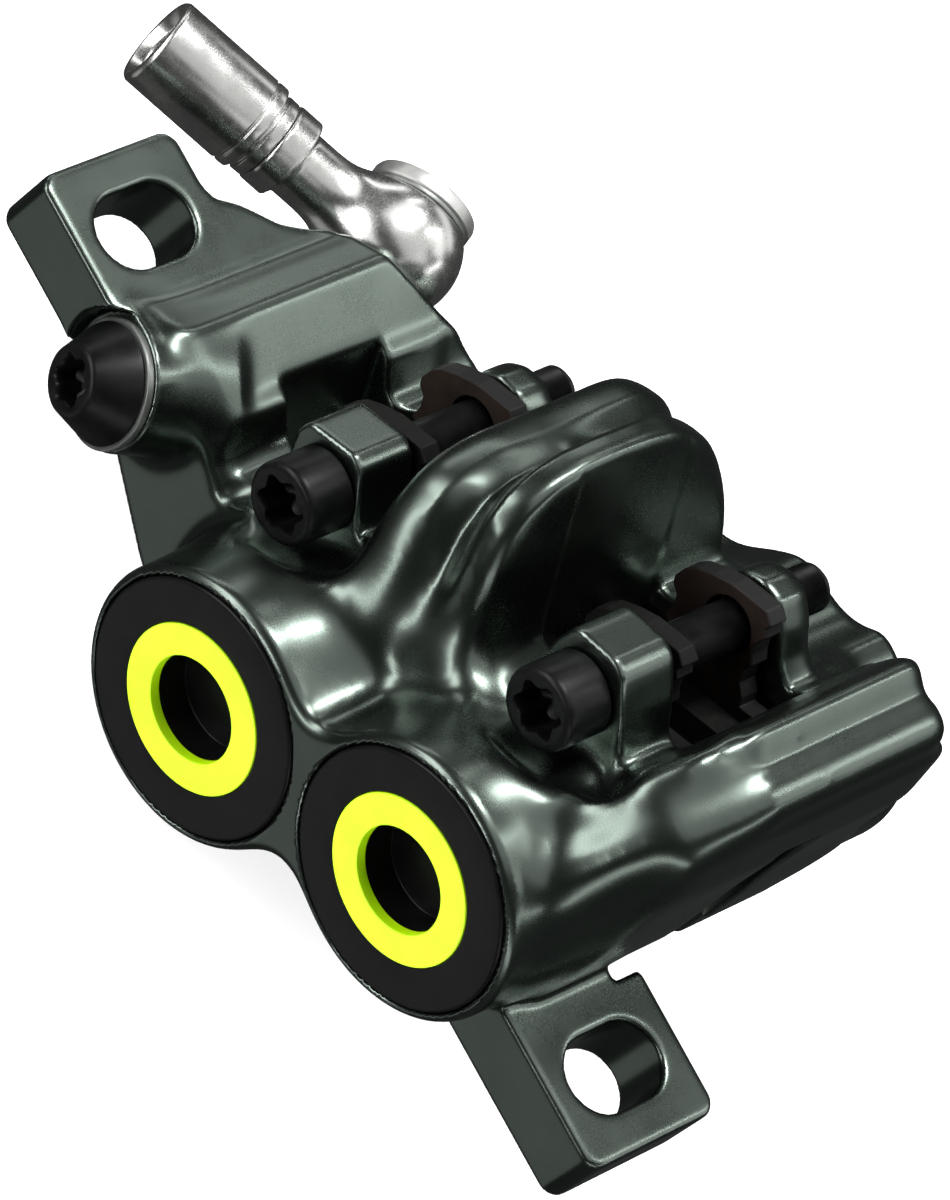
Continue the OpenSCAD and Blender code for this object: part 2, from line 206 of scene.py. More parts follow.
ear_front_o = Outline([(8.3, 8), (8.5, 12.1), (9.5, 13.1), (10.2, 17.2), (11.7, 19.6), (12.6, 19.85), (16.3, 19.6), (17.4, 18.7), (18.4, 15.4), (18.9, 12.7), (19.6, 11.6), (20, 8)], blur=0.3, step=0.2)
ear_rear_in = Outline([(-19.8, 8), (-19.4, 11.4), (-18.3, 12.8), (-17.5, 15.8), (-16.4, 17.9), (-14.6, 18.65), (-12.4, 18.3), (-11.0, 17.0), (-10.5, 14.6), (-10.3, 12.8), (-9.2, 12.0), (-8.4, 8)], blur=0.35, step=0.2)
ear_front_in = Outline([(8.3, 8), (8.8, 11.9), (10.0, 12.7), (10.5, 14.9), (11.0, 17.0), (12.3, 18.3), (14.4, 18.65), (16.3, 17.9), (17.4, 15.8), (18.0, 13.4), (19.1, 11.8), (20, 8)], blur=0.35, step=0.2)
b1_o = Outline([(-15.4, -2), (-15.4, 4), (-15.3, 14.5), (-14.9, 16.7), (-13.9, 18.9), (-12.2, 21.5), (-10.6, 22.7), (-9.1, 23.25), (-6, 23.85), (0, 23.7), (5, 23.8), (8.5, 23.7), (10.2, 23.4),
                (12.2, 22.2), (13.5, 20.8), (14.4, 19.4), (15, 17), (15.1, 14), (14.7, 9), (14.4, -2)], blur=0.7)
bv_o = Outline([(-15.6, -2), (-15.2, 2), (-14.2, 5.5), (-13.3, 12), (-12.6, 16.5), (-11.3, 20), (-9.8, 22.1), (-8, 23.0), (-5.5, 23.3), (-2.7, 23.2), (4.1, 23.0), (8, 22.6), (10.2, 21.8),
                (11.6, 20.2), (12.8, 18), (13.8, 14.5), (14.2, 9), (14.2, -2)], blur=0.7)
b2_o = Outline([(-15, -2), (-14.9, 7), (-14.9, 17), (-14.5, 20.5), (-13.5, 23.6), (-11.8, 25.8), (-9.2, 27.2), (-6, 27.75), (-2.5, 27.8), (1, 27.6), (4.4, 27.0), (7, 25.8), (9.1, 24.3),
                (10.8, 22), (12.2, 19.5), (13.3, 17), (14.2, 14), (14.6, 9), (14.6, -2)], blur=0.7)
lug_rear_o = Outline([(-40.5, -7.1), (-28, -7.1), (-20, -7.1), (-20, 17.5), (-27, 17.5), (-31.4, 16.5), (-32.3, 14.1), (-33.3, 12.2), (-35, 10.5), (-36, 9.4), (-37.1, 7.6), (-38.4, 7.1),
                      (-42.6, 7.1), (-43.5, 6.2), (-43.5, -6.2), (-42.6, -7.1)], blur=0.3)
lug_front_o = Outline([(42.6, -7.1), (43.5, -6.2), (43.5, 6.2), (42.6, 7.1), (20, 7.1), (20, -7.1)], blur=0.3)


def body_soft(P):
    """Where the body runs in long soft curves: the feet of the bridge and of the front ridges."""
    dx, dz = P[:, 0] - OX, P[:, 2] - OZ
    t, y, r = dx * C + dz * S, P[:, 1] - OY, -dx * S + dz * C
    wall = ease(np.minimum(np.hypot(t - PX, r), np.hypot(t + PX, r)), 10.8, 11.3) * (1 - ease(-y, 21.8, 23.4))
    front = ease(t, 18.0, 20.5) * ease(-y, 6.0, 10.0) * ease(r, -3, 2)
    foot = ease(t, -10.5, -7.5) * (1 - ease(t, 6.0, 8.5)) * ease(-y, 12.6, 15.0) * ease(r, 1.5, 4)
    return wall * np.maximum(front, foot)


def body_field(P):
    X, Y, Z = P[:, 0], P[:, 1], P[:, 2]
    dx, dz = X - OX, Z - OZ
    t, y, r = dx * C + dz * S, Y - OY, -dx * S + dz * C
    q = (t, y, r)
    # piston housings and the web between them
    R = 11.5 + 0.37 * ease(y, -24, -13)
    hs = []
    for t0 in (-PX, PX):
        hs.append(np.hypot(t - t0, r) - R)
    h = smin(hs[0], hs[1], 7.0)
    web = rbox(np.abs(t) - PX, np.abs(r + 0.1) - 7.8 + 2.2 * ease(-y, 5, 24.5), 2.4)
    h = smin(h, web, 5.0)
    core = smax(core_o(t, r), np.abs(y + 0.1) - 14.7, 1.3 + 1.3 * ease(t, -19, -11))
    f = smin(core, h, 3.2)
    # bridge with its two ridges
    w2 = ease(t, -0.9, 2.7)
    w1 = 1 - ease(t, -3.6, -0.7)
    b = w1 * b1_o(y, r) + w2 * b2_o(y, r) + (1 - w1 - w2) * bv_o(y, r)
    b = smax(smax(b, t - 4.9, 2.0 + 2.2 * ease(-y, 9, 15)), -7.15 - t, 4.2)
    tail1 = swell(q, (0.3, 0.75, 0.6), [(-3.4, -7.6, 18.0, -2.0), (-3.4, -9.6, 16.0, 0.5), (-3.6, -11.4, 14.0, 2.9), (-4.4, -12.4, 11.0, 3.2), (-5.4, -14.6, 8.4, 3.0), (-6.6, -17.5, 7.0, 2.6), (-7.6, -20.5, 6.4, 2.0), (-8.2, -23.0, 5.6, -1.0)], 1.2)
    f = smin(f, b, 2.4 + 5.2 * ease(-y, 3, 13))
    f = smin(f, tail1, 7.0)
    # front ridges and their sweep onto the housing
    rad = np.hypot(t - PX, r)
    up = ease(np.degrees(np.arctan2(r, t - PX)), 35, 48)
    w = np.clip((-y - 7.5 + 2.5 * up) / 14.6, 0, 1) ** 2.0
    g = ease(-y, 7, 12)
    c = (1 - w) * ((1 - g) * front_o(t, r) + g * front_p(t, r)) + w * (rad - R) + 1.5 * w ** 3
    c = smax(smax(c, y - 12.6, 2.6), -24.0 - y, 1.0)
    f = smin(f, c, 2.4)
    ridge1 = swell(q, (0.55, 0.65, 0.5), [(25.9, -4, 15.0, -2.0), (25.7, -8, 16.0, 1.3), (25.5, -10.4, 15.7, 1.45), (23.2, -14.0, 12.5, 1.6), (20.5, -15.6, 9.7, 1.9), (18.0, -16.9, 8.4, 2.1), (14.0, -19.2, 8.7, 2.2), (11.8, -21.2, 8.6, 1.2), (10.0, -23, 8.3, -2.0)])
    ridge2 = swell(q, (0.55, 0.65, 0.6), [(28.9, -3, 12.4, -2.0), (28.7, -7, 13.0, 1.2), (28.4, -9.5, 12.8, 1.4), (26.9, -13.3, 11.6, 1.6), (25.0, -15.9, 9.2, 1.8), (23.0, -17.8, 6.5, 1.9), (21.3, -20.2, 4.0, 1.7), (20.3, -22.2, 2.4, 0.8), (19.6, -24, 1.2, -2.0)])
    f = smin(smin(f, ridge1, 3.0), ridge2, 3.0)
    # the two end planes of the housings, with their soft rims
    f = rbox(f, np.abs(y + 1.9) - 22.7, 1.0)
    f = smax(f, -12.15 - Z, 0.4)
    # pockets of the two screw heads
    out = np.maximum(-12.45 - y, 0)
    for t0, ta, tb, lean, soft in ((-AX, -23.3, -7.4, 0.42, 1.4), (AX, 7.3, 22.3, 0.0, 2.4)):
        rho = np.hypot(t - t0, r - AR)
        ta_y = ta + lean * out
        tb_y = tb - 1.75 * smax(out - 2.7, 0 * out, 1.5) if t0 > 0 else tb
        floor = 11.25 + 1.9 * ease(out, 1.6, 7.5) - (0.33 * smax(t - 15, 0 * t, 2.0) if t0 > 0 else 0)
        back = y + 12.45 + (0.4 * smax(t - 18.6, 0 * t, 1.0) if t0 > 0 else 0)
        pk = smax(rbox(rho - 5.0, y + 12.45, 1.5), -18.2 - y, 3.0)
        side = ta_y - t
        if t0 < 0:
            side = (0.6 * (y + 14.7) - 0.831 * (t + 24.4) - 0.556 * (r - 13.5)) / 1.166
            floor = floor - 0.9 * smax(-18.5 - t, 0 * t, 1.5)
            edge = rbox(rbox(side, np.maximum(t + 20.5, 13.2 - r), 1.0), y + 12.4, 1.0)
            f = smax(f, -edge, 0.9)
        wide = rbox(rbox(np.maximum(side, t - tb_y), floor - r, 2.2 if t0 < 0 else 2.8), back, 1.6)
        f = smax(f, -smin(pk, wide, 2.4), soft)
        pi = rbox(rho - 5.5, 10.3 - y, 1.4)
        wi = rbox(rbox(np.maximum(ta + 0.2 - t, t - min(tb, 20.9)), 11.4 - r, 2.2), 10.3 - y, 1.4)
        f = smax(f, -smin(pi, wi, 2.0), 2.0)
    # ears
    ears = smin(ear_rear_o(t, r), ear_front_o(t, r), 0.2)
    ears = smax(ears, np.abs(y + 9.2) - 3.1, 0.7)
    f = smin(f, ears, 1.3)
    ears = smin(ear_rear_in(t, r), ear_front_in(t, r), 0.2)
    ears = smax(smax(ears, 6.1 - y, 0.5), y - 10.4, 2.6)
    f = smin(f, ears, 1.3)
    # lugs
    f = smax(f, -rbox(X + 30.7, 6.5 - Z, 0.3), 0.8)
    f = smax(f, -rbox(30.2 - X, 6.5 - Z, 0.3), 0.8)
    lug = np.minimum(smax(lug_rear_o(X, Y), X + 26, 0.5), smax(lug_front_o(X, Y), 22 - X, 0.5))
    lug = smax(lug, np.abs(Z - 3.25) - 3.25, 0.9)
    f = smin(f, lug, 1.2)
    # bosses of the bleed screw and of the hose port, and their seats
    a, rho = along(P, BL, BV)
    f = smin(f, rbox(rho - 5.3, np.abs(a - 4.95) - 4.0, 0.3), 3.2)
    f = smax(f, -rbox(rho - 5.75, a - 0.95, 0.25), 0.6)
    f = smax(f, -(np.maximum(rho - 2.1, a - 8.5)), 0.3)
    a, rho = along(P, BC, BN)
    f = smin(f, rbox(rho - 5.6, np.abs(a + 9.33) - 5.5, 0.3), 2.5)
    f = smax(f, -rbox(rho - 12.6, -3.83 - a, 0.3), 0.9)
    f = smax(f, -np.maximum(rho - 3.0, -a - 11), 0.3)
    # chamber, windows, rotor slot
    ay = np.abs(y) - 6.4
    cut = rbox(rbox(np.abs(t) - 20.4, r - 9.8, 0.4), ay, 0.3)
    aw = np.maximum(-6.4 - y, y - 6.4 + 2.0 * ease(-t, 19.6, 22.4))
    cut = np.minimum(cut, rbox(rbox(np.abs(t + 16.0) - 9.1, 8 - r, 0.3), aw, 0.5))
    cut = np.minimum(cut, rbox(rbox(np.abs(t - 13.4) - 8.5, 8 - r, 0.3), ay, 0.5))
    f = smax(f, -cut, 0.9)
    f = smax(f, -rbox(np.hypot(t, r + 81.2) - 91.5, np.abs(y) - 2.2, 0.2), 0.5)
    # bores, cap seats, axle holes
    for t0 in (-PX, PX):
        rho = np.hypot(t - t0, r)
        bore = np.maximum(rho - 8.54, np.maximum(y - 17.9, -y - 20))
        bore = np.minimum(bore, np.maximum(rho - 9.75, np.abs(y + 20.8) - 1.65))
        bore = np.minimum(bore, np.maximum(rho - 10.68, y + 22.4))
        f = smax(f, -bore, 0.35)
    for t0 in (-AX, AX):
        f = smax(f, -np.maximum(np.hypot(t - t0, r - AR) - 2.08, np.abs(y) - 18), 0.3)
    # slots of the lugs
    for x0 in (-37, 37):
        sl = np.hypot(X - x0, np.maximum(np.abs(Y) - 1.5, 0)) - 3.2
        f = smax(f, -sl, 0.8)
    return f


def gradient(field, P, e=0.04):
    k = np.array([[1, -1, -1], [-1, -1, 1], [-1, 1, -1], [1, 1, 1]], float)
    g = np.zeros_like(P)
    for v in k:
        g += v * field(P + v * e)[:, None]
    return g / (4 * e)


def in_parts(fn, P, n=120000):
    return np.concatenate([fn(P[i:i + n]) for i in range(0, len(P), n)])


def field_mesh(field, lo, hi, step, faces=None):
    """Vertices and quads of the surface where the field is zero."""
    lo, hi = np.asarray(lo, float), np.asarray(hi, float)
    B = 8
    nb = np.ceil((hi - lo) / (step * B)).astype(int)
    n = nb * B + 1
    centres = np.stack(np.meshgrid(*[lo[i] + (np.arange(nb[i]) + 0.5) * step * B for i in range(3)], indexing="ij"), -1).reshape(-1, 3)
    fc = in_parts(field, centres)
    near = np.abs(fc) < step * B * 0.87 * 1.25 + step
    G = np.repeat(np.repeat(np.repeat(np.sign(fc).reshape(nb), B, 0), B, 1), B, 2).astype(np.float32) * 9
    G = np.pad(G, [(0, 1)] * 3, mode="edge")
    off = np.stack(np.meshgrid(*[np.arange(B + 1)] * 3, indexing="ij"), -1).reshape(-1, 3)
    idx = np.argwhere(near.reshape(nb))
    for s in range(0, len(idx), 250):
        ids = (idx[s:s + 250, None, :] * B + off[None]).reshape(-1, 3)
        v = field(lo + ids * step)
        G[ids[:, 0], ids[:, 1], ids[:, 2]] = v
    inside = G < 0
    cells = np.array(G.shape) - 1
    acc = np.zeros((cells.prod(), 3))
    cnt = np.zeros(cells.prod())
    quads = []
    stride = np.array([cells[1] * cells[2], cells[2], 1])
    for ax in range(3):
        sa = [slice(None)] * 3
        sb = [slice(None)] * 3
        sa[ax], sb[ax] = slice(0, -1), slice(1, None)
        A, Bv = G[tuple(sa)], G[tuple(sb)]
        e = np.argwhere((A < 0) != (Bv < 0))
        o1, o2 = [a for a in range(3) if a != ax]
        ok = (e[:, o1] > 0) & (e[:, o2] > 0) & (e[:, o1] < cells[o1]) & (e[:, o2] < cells[o2])
        e = e[ok]
        va, vb = A[e[:, 0], e[:, 1], e[:, 2]], Bv[e[:, 0], e[:, 1], e[:, 2]]
        p = e.astype(float)
        p[:, ax] += va / (va - vb)
        cell = []
        for d1, d2 in ((0, 0), (1, 0), (1, 1), (0, 1)):
            cc = e.copy()
            cc[:, o1] -= d1
            cc[:, o2] -= d2
            lin = cc @ stride
            cell.append(lin)
            cnt += np.bincount(lin, minlength=len(cnt))
            for k in range(3):
                acc[:, k] += np.bincount(lin, weights=p[:, k], minlength=len(cnt))
        qd = np.stack(cell, 1)
        flip = (va >= 0) if ax != 1 else (va < 0)
        qd[flip] = qd[flip][:, ::-1]
        quads.append(qd)
    quads = np.concatenate(quads)
    used = np.flatnonzero(cnt)
    remap = np.full(len(cnt), -1)
    remap[used] = np.arange(len(used))
    V = lo + acc[used] / cnt[used, None] * step
    Q = remap[quads]

    def settle(V, times):
        for _ in range(times):
            g = in_parts(lambda p: gradient(field, p), V, 60000)
            f = in_parts(field, V)
            L = np.maximum((g * g).sum(1), 0.05)
            mv = -(f / L)[:, None] * g
            ln = np.linalg.norm(mv, axis=1)
            mv *= np.minimum(1, 0.6 * step / np.maximum(ln, 1e-9))[:, None]
            V = V + mv
        return V
    V = settle(V, 1)
    # one round of relaxing along the surface
    E = np.concatenate([Q[:, [0, 1]], Q[:, [1, 2]], Q[:, [2, 3]], Q[:, [3, 0]]])
    for _ in range(2):
        sm = np.zeros_like(V)
        for k in range(3):
            sm[:, k] = np.bincount(E[:, 0], weights=V[E[:, 1], k], minlength=len(V)) + np.bincount(E[:, 1], weights=V[E[:, 0], k], minlength=len(V))
        dg = np.bincount(E.ravel(), minlength=len(V))
        g = in_parts(lambda p: gradient(field, p), V, 60000)
        g /= np.maximum(np.linalg.norm(g, axis=1), 1e-9)[:, None]
        d = sm / dg[:, None] - V
        d -= (d * g).sum(1)[:, None] * g
        V = V + 0.5 * d
        V = settle(V, 1)
    return V, Q


def put_mesh(name, V, F, mat, body, nodes=(), normals=None, smooth=True, extra=None):
    """A piece from vertices in millimetres and faces."""
    me = bpy.data.meshes.new(name)
    me.from_pydata([tuple(v) for v in (np.asarray(V) * MM)], [], [tuple(int(i) for i in f) for f in F])
    me.validate()
    ob = bpy.data.objects.new(name, me)
    bpy.context.scene.collection.objects.link(ob)
    if extra:
        for key, val in extra.items():
            at = me.attributes.new(key, "FLOAT", "POINT")
            at.data.foreach_set("value", np.asarray(val, np.float32))
    me.polygons.foreach_set("use_smooth", np.full(len(me.polygons), smooth))
    if normals is not None:
        me.normals_split_custom_set_from_vertices([tuple(v) for v in normals])
    me.materials.append(mat)
    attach(ob, body)
    if nodes:
        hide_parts(*nodes)
    return ob


def face_directions(V, Q):
    """Directions of the corners of a quad mesh, from its faces."""
    n = np.cross(V[Q[:, 2]] - V[Q[:, 0]], V[Q[:, 3]] - V[Q[:, 1]])
    idx = Q.ravel()
    out = np.stack([np.bincount(idx, np.repeat(n[:, j], 4), len(V)) for j in range(3)], 1)
    return out / np.maximum(np.linalg.norm(out, axis=1), 1e-9)[:, None]


def relax(V, Q, w, rounds):
    """Lets the corners with weight w settle between their neighbours."""
    i = np.concatenate([Q[:, 0], Q[:, 1], Q[:, 2], Q[:, 3]])
    j = np.concatenate([Q[:, 1], Q[:, 2], Q[:, 3], Q[:, 0]])
    use = (w[i] > 0) | (w[j] > 0)
    i, j = i[use], j[use]
    deg = np.maximum(np.bincount(i, minlength=len(V)) + np.bincount(j, minlength=len(V)), 1)
    V = V.copy()
    for _ in range(rounds):
        for k in range(3):
            s = np.bincount(i, V[j, k], len(V)) + np.bincount(j, V[i, k], len(V))
            V[:, k] += 0.5 * w * (s / deg - V[:, k])
    return V


def field_piece(name, field, lo, hi, step, mat, body, nodes=(), most=None, soft=None, spread=1.0):
    V, Q = field_mesh(field, lo, hi, step)
    if soft is not None:
        Q = np.asarray(Q)
        w0 = soft(V)
        V = relax(V, Q, w0, int(round(4 * spread ** 2 / step ** 2)))
        w1 = soft(V)
        pick = np.nonzero(w1 > 0)[0]
        fine = face_directions(V, Q)[pick]
        tree = mathutils.kdtree.KDTree(len(pick))
        for k, v in enumerate(V[pick]):
            tree.insert(v, k)
        tree.balance()
    F = Q
    if most and 2 * len(Q) > most:
        me = bpy.data.meshes.new("tmp")
        me.from_pydata(V.tolist(), [], Q.tolist())
        ob = bpy.data.objects.new("tmp", me)
        bpy.context.scene.collection.objects.link(ob)
        m = ob.modifiers.new("d", "DECIMATE")
        m.ratio = most / (2 * len(Q))
        dg = bpy.context.evaluated_depsgraph_get()
        ev = ob.evaluated_get(dg).to_mesh()
        V = np.empty(len(ev.vertices) * 3, np.float32)
        ev.vertices.foreach_get("co", V)
        V = V.reshape(-1, 3).astype(float)
        F = [list(p.vertices) for p in ev.polygons]
        ob.evaluated_get(dg).to_mesh_clear()
        bpy.data.objects.remove(ob)
        bpy.data.meshes.remove(me)
    g = in_parts(lambda p: gradient(field, p, 0.06), V, 60000)
    nrm = g / np.maximum(np.linalg.norm(g, axis=1), 1e-9)[:, None]
    if soft is not None:
        w2 = soft(V)
        pick = np.nonzero(w2 > 0)[0]
        near = fine[[tree.find(v)[1] for v in V[pick]]]
        if (near * nrm[pick]).sum() < 0:
            near = -near
        k = np.minimum(w2[pick] * 4, 1)[:, None]
        mixed = near * k + nrm[pick] * (1 - k)
        nrm[pick] = mixed / np.maximum(np.linalg.norm(mixed, axis=1), 1e-9)[:, None]
    # how sharp an edge is: how fast the direction turns nearby
    h = 0.35
    f0 = in_parts(field, V)
    lap = -6 * f0
    for ax in range(3):
        for s in (-1, 1):
            e = np.zeros(3)
            e[ax] = s * h
            lap = lap + in_parts(lambda p: field(p + e), V)
    curv = np.clip(lap / (h * h), -3, 3)
    print(name, len(V), len(F))
    return put_mesh(name, V, F, mat, body, nodes, normals=nrm, extra={"curv": curv})


# ------------------------------------------------------------------ turned pieces
def frame_of(n):
    n = unit(n)
    a = unit(np.cross(n, [0.3, 0.1, 1.0]))
    return a, np.cross(n, a), n


def turned(name, c, n, rings, mat, body, nodes=(), seg=96, close=(True, True), crease=35):
    """rings: list of (radius, axial) or (radius, axial, lobes, depth) from one end to the other, about the axis n through c."""
    a, b, n = frame_of(n)
    th = np.arange(seg) * 2 * math.pi / seg
    V, F = [], []
    rows = []
    for k, ring in enumerate(rings):
        rad, ax = ring[0], ring[1]
        rr = np.full(seg, float(rad))
        if len(ring) > 2:
            rr = ring[2](th, rad)
        rows.append(len(V))
        for i in range(seg):
            V.append(c + n * ax + (a * math.cos(th[i]) + b * math.sin(th[i])) * rr[i])
    for k in range(len(rings) - 1):
        p, s = rows[k], rows[k + 1]
        for i in range(seg):
            j = (i + 1) % seg
            F.append((p + i, p + j, s + j, s + i))
    for end, row, flip in ((0, rows[0], True), (1, rows[-1], False)):
        if close[end]:
            V.append(c + n * rings[-end][1])
            m = len(V) - 1
            for i in range(seg):
                j = (i + 1) % seg
                F.append((row + j, row + i, m) if flip else (row + i, row + j, m))
    ob = put_mesh(name, V, F, mat, body, nodes)
    me = ob.data
    bm = bmesh.new()
    bm.from_mesh(me)
    bmesh.ops.recalc_face_normals(bm, faces=bm.faces)
    for e in bm.edges:
        if len(e.link_faces) == 2 and e.calc_face_angle(0) > math.radians(crease):
            e.smooth = False
    bm.to_mesh(me)
    bm.free()
    return ob


def rounded(pts, r=0.15, n=3):
    """An open polyline of (radius, axial), its inner corners rounded."""
    out = [tuple(pts[0])]
    for k in range(1, len(pts) - 1):
        p0, p1, p2 = (np.array(pts[k + d], float) for d in (-1, 0, 1))
        rr = r[k] if isinstance(r, (list, tuple)) else r
        l1, l2 = np.linalg.norm(p0 - p1), np.linalg.norm(p2 - p1)
        w = min(rr, l1 * 0.45, l2 * 0.45)
        if w < 0.01:
            out.append(tuple(p1))
            continue
        s, e = p1 + (p0 - p1) / l1 * w, p1 + (p2 - p1) / l2 * w
        for i in range(n + 1):
            u = i / n
            out.append(tuple((1 - u) ** 2 * s + 2 * u * (1 - u) * p1 + u * u * e))
    out.append(tuple(pts[-1]))
    return out


def six_lobes(depth, sharp=1.0):
    def f(th, rad):
        w = np.cos(6 * th)
        return rad * (1 - depth * (0.5 - 0.5 * w) ** sharp)
    return f


def hexagon(th, rad):
    k = (th + math.pi / 6) % (math.pi / 3) - math.pi / 6
    return rad * math.cos(math.pi / 6) / np.cos(k)


# ------------------------------------------------------------------ materials
def new_mat(name):
    m = bpy.data.materials.new(name)
    m.use_nodes = True
    nt = m.node_tree
    nt.nodes.clear()
    out = nt.nodes.new("ShaderNodeOutputMaterial")
    p = nt.nodes.new("ShaderNodeBsdfPrincipled")
    nt.links.new(p.outputs[0], out.inputs[0])
    return m, nt, p


def coords(nt):
    return nt.nodes.new("ShaderNodeTexCoord").outputs["Object"]


def noise(nt, co, scale, detail=3.0, rough=0.55, dist=0.0):
    n = nt.nodes.new("ShaderNodeTexNoise")
    n.inputs["Scale"].default_value = scale
    n.inputs["Detail"].default_value = detail
    n.inputs["Roughness"].default_value = rough
    n.inputs["Distortion"].default_value = dist
    nt.links.new(co, n.inputs["Vector"])
    return n.outputs["Fac"]


def ramp(nt, fac, stops):
    n = nt.nodes.new("ShaderNodeValToRGB")
    e = n.color_ramp.elements
    while len(e) < len(stops):
        e.new(0.5)
    for i, (p, c) in enumerate(stops):
        e[i].position = p
        e[i].color = (c, c, c, 1) if isinstance(c, (int, float)) else (*c, 1)
    nt.links.new(fac, n.inputs["Fac"])
    return n.outputs["Color"]


def remap(nt, v, a, b, c, d):
    n = nt.nodes.new("ShaderNodeMapRange")
    for k, x in zip(("From Min", "From Max", "To Min", "To Max"), (a, b, c, d)):
        n.inputs[k].default_value = x
    nt.links.new(v, n.inputs["Value"])
    return n.outputs["Result"]


def math_node(nt, op, a, b):
    n = nt.nodes.new("ShaderNodeMath")
    n.operation = op
    for s, v in zip(n.inputs, (a, b)):
        if isinstance(v, (int, float)):
            s.default_value = v
        else:
            nt.links.new(v, s)
    return n.outputs[0]


def mix(nt, fac, a, b):
    n = nt.nodes.new("ShaderNodeMix")
    n.data_type = "RGBA"
    for s, v in ((n.inputs["Factor"], fac), (n.inputs["A"], a), (n.inputs["B"], b)):
        if isinstance(v, (int, float)):
            s.default_value = v
        elif isinstance(v, tuple):
            s.default_value = (*v, 1)
        else:
            nt.links.new(v, s)
    return n.outputs["Result"]


def bump(nt, p, height, strength, distance):
    n = nt.nodes.new("ShaderNodeBump")
    n.inputs["Strength"].default_value = strength
    n.inputs["Distance"].default_value = distance
    nt.links.new(height, n.inputs["Height"])
    nt.links.new(n.outputs[0], p.inputs["Normal"])


def stretched(nt, co, scale, rot=(0, 0, 0)):
    n = nt.nodes.new("ShaderNodeMapping")
    n.inputs["Scale"].default_value = scale
    n.inputs["Rotation"].default_value = rot
    nt.links.new(co, n.inputs["Vector"])
    return n.outputs[0]


def surface(name, dark, light, rough, metallic=0.0, scale=260, grain=2600, bump_d=0.00002, bump_s=0.25, coat=0.0, spec=0.5, rough_var=0.06, wear=None, fine=None):
    m, nt, p = new_mat(name)
    co = coords(nt)
    big = noise(nt, co, scale, 4, 0.6)
    small = noise(nt, co, grain, 3, 0.6)
    col = mix(nt, remap(nt, big, 0.32, 0.68, 0.0, 1.0), dark, light)
    if wear:
        at = nt.nodes.new("ShaderNodeAttribute")
        at.attribute_name = "curv"
        edge = remap(nt, at.outputs["Fac"], wear[1], wear[2], 0, 1)
        scr = noise(nt, co, 900, 4, 0.7)
        edge = math_node(nt, "MULTIPLY", edge, remap(nt, scr, 0.42, 0.62, 0.15, 1.0))
        col = mix(nt, edge, col, wear[0])
    nt.links.new(col, p.inputs["Base Color"])
    rg = remap(nt, math_node(nt, "ADD", math_node(nt, "MULTIPLY", big, 0.6), math_node(nt, "MULTIPLY", small, 0.4)), 0.35, 0.65, rough - rough_var, rough + rough_var)
    nt.links.new(rg, p.inputs["Roughness"])
    p.inputs["Metallic"].default_value = metallic
    p.inputs["Coat Weight"].default_value = coat
    p.inputs["Coat Roughness"].default_value = 0.18
    p.inputs["Specular IOR Level"].default_value = spec
    bump(nt, p, small if fine is None else fine(nt, co), bump_s, bump_d)
    return m


def plate_mat():
    m = surface("plate_brown", (0.012, 0.0065, 0.004), (0.024, 0.012, 0.0075), 0.6, metallic=0.1, scale=500, grain=4200, bump_d=0.00003)
    nt = m.node_tree
    p = next(n for n in nt.nodes if n.type == "BSDF_PRINCIPLED")
    geo = nt.nodes.new("ShaderNodeNewGeometry")
    sep = nt.nodes.new("ShaderNodeSeparateXYZ")
    nt.links.new(geo.outputs["Normal"], sep.inputs[0])
    side = math_node(nt, "ABSOLUTE", sep.outputs["Y"], 0.0)
    col = p.inputs["Base Color"].links[0].from_socket
    nt.links.new(mix(nt, remap(nt, side, 0.75, 0.92, 0.0, 1.0), (0.0022, 0.002, 0.0018), col), p.inputs["Base Color"])
    return m


